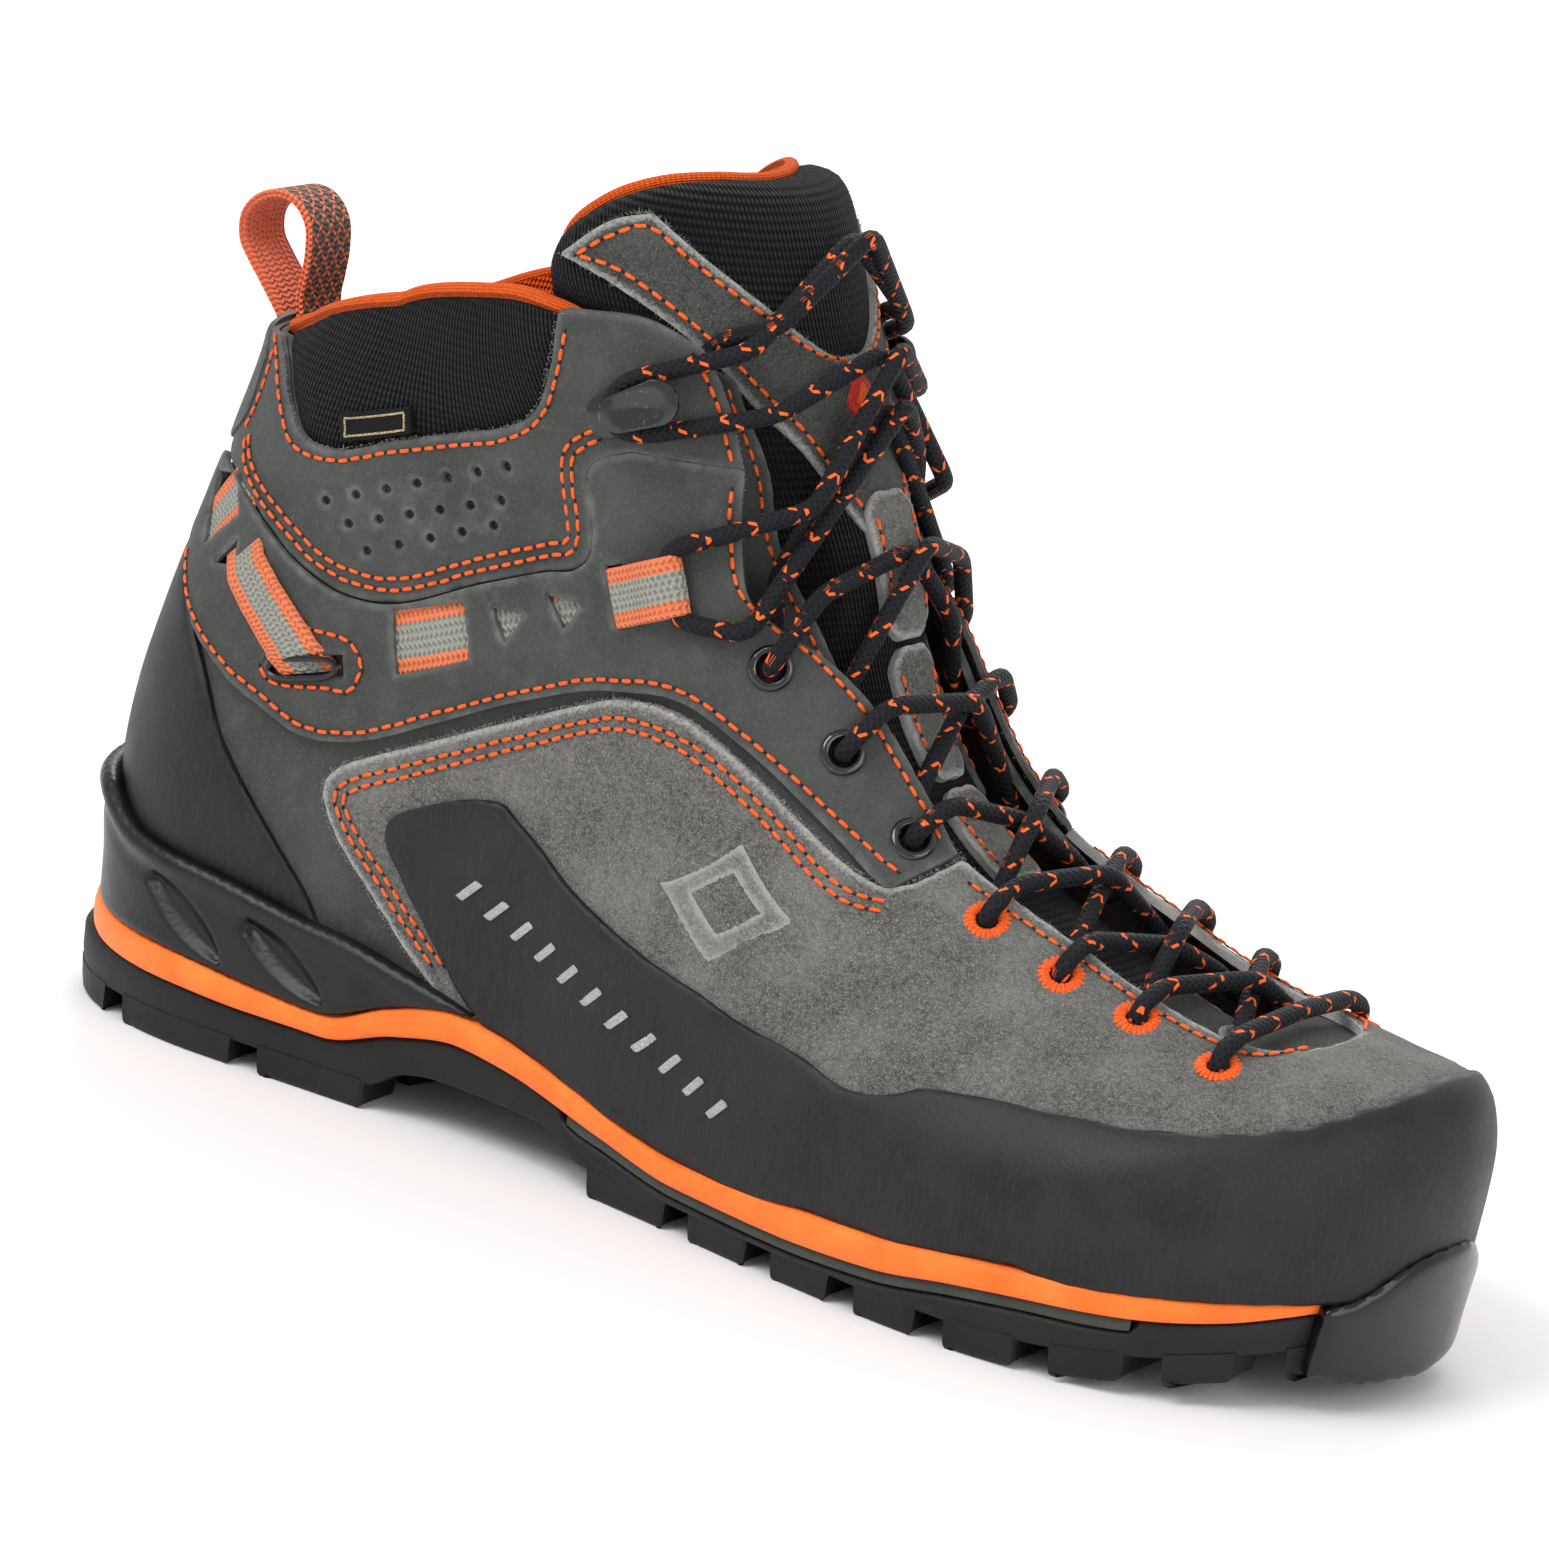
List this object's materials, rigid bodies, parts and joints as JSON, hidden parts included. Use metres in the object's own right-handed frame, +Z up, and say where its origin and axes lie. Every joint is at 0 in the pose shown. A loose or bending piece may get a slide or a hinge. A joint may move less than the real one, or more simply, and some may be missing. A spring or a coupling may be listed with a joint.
{
  "type": "hiking boot",
  "caption": "Mid-cut lace-up hiking boot with suede and nubuck upper, rubber rand, webbing heel lock, padded collar and lugged sole.",
  "frame": {"origin": "on the ground under the middle of the sole's length, where the sole stands", "axes": "+X towards the toe, +Z up, -Y towards the outer side of the right foot"},
  "size_m": [0.3015, 0.1087, 0.19],
  "materials": {
    "outsole_rubber": "matte",
    "wedge_foam": "matte",
    "orange_foam": "matte",
    "moulded_plastic": "satin",
    "toe_rubber": "gloss",
    "board": "matte",
    "footbed_foam": "matte",
    "orange_textile": "matte",
    "nubuck": "matte",
    "suede": "matte",
    "dark_suede": "matte",
    "rand_rubber": "matte",
    "black_mesh": "matte",
    "label_black": "matte",
    "webbing": "matte",
    "black_metal": "gloss",
    "orange_thread": "matte",
    "rivet_metal": "satin",
    "loop_webbing": "matte",
    "lace_cord": "matte",
    "badge_thread": "satin"
  },
  "bodies": {
    "boot": {"outsole": "outsole_rubber", "forefoot_wedge": "wedge_foam", "midsole": "orange_foam", "heel_stabiliser": "moulded_plastic", "toe_bumper": "toe_rubber", "insole_board": "board", "lining": "orange_textile", "heel_counter": "board", "toe_puff": "board", "quarter_outer": "nubuck", "quarter_inner": "nubuck", "cuff_outer": "nubuck", "cuff_inner": "nubuck", "overlay_outer": "nubuck", "overlay_inner": "nubuck", "vamp": "suede", "toe_insert": "dark_suede", "rand": "rand_rubber", "heel_rand": "rand_rubber", "back_strip": "nubuck", "collar_foam_outer": "black_mesh", "collar_foam_inner": "black_mesh", "collar_mesh_outer": "black_mesh", "collar_mesh_inner": "black_mesh", "collar_edge": "orange_textile", "side_label": "label_black", "lock_strap_outer": "webbing", "lock_strap_inner": "webbing", "slot_ring_outer": "black_metal", "slot_ring_inner": "black_metal", "lace_loop_outer": "webbing", "lace_loop_inner": "webbing", "metal_eyelets": "black_metal", "stitched_eyelets": "orange_thread", "lace_hook_outer": "black_metal", "lace_hook_inner": "black_metal", "hook_rivets": "rivet_metal", "loop_anchor": "loop_webbing", "lace": "lace_cord", "lace_tips": "moulded_plastic"},
    "tongue_flap": {"tongue": "black_mesh", "tongue_pad": "black_mesh", "tongue_overlay": "suede", "lace_keepers": "suede", "tongue_base": "dark_suede", "tongue_lining": "orange_textile", "tongue_badge": "badge_thread"},
    "footbed": {"footbed": "footbed_foam"},
    "pull_tab": {"pull_loop": "loop_webbing"}
  },
  "joints": [
    {"name": "tongue_hinge", "type": "hinge", "parent": "boot", "child": "tongue_flap", "pos_m": [0.116, 0, 0.04], "axis": [0, 1, 0], "range_deg": [-2.5, 0], "stiffness_Nm_per_rad": 12},
    {"name": "footbed_lift", "type": "hinge", "parent": "boot", "child": "footbed", "pos_m": [0.136, 0, 0.0255], "axis": [0, 1, 0], "range_deg": [0, 5]},
    {"name": "pull_loop_hinge", "type": "hinge", "parent": "boot", "child": "pull_tab", "pos_m": [-0.1245, 0, 0.139], "axis": [0, 1, 0], "range_deg": [-18, 22], "stiffness_Nm_per_rad": 0.05}
  ]
}
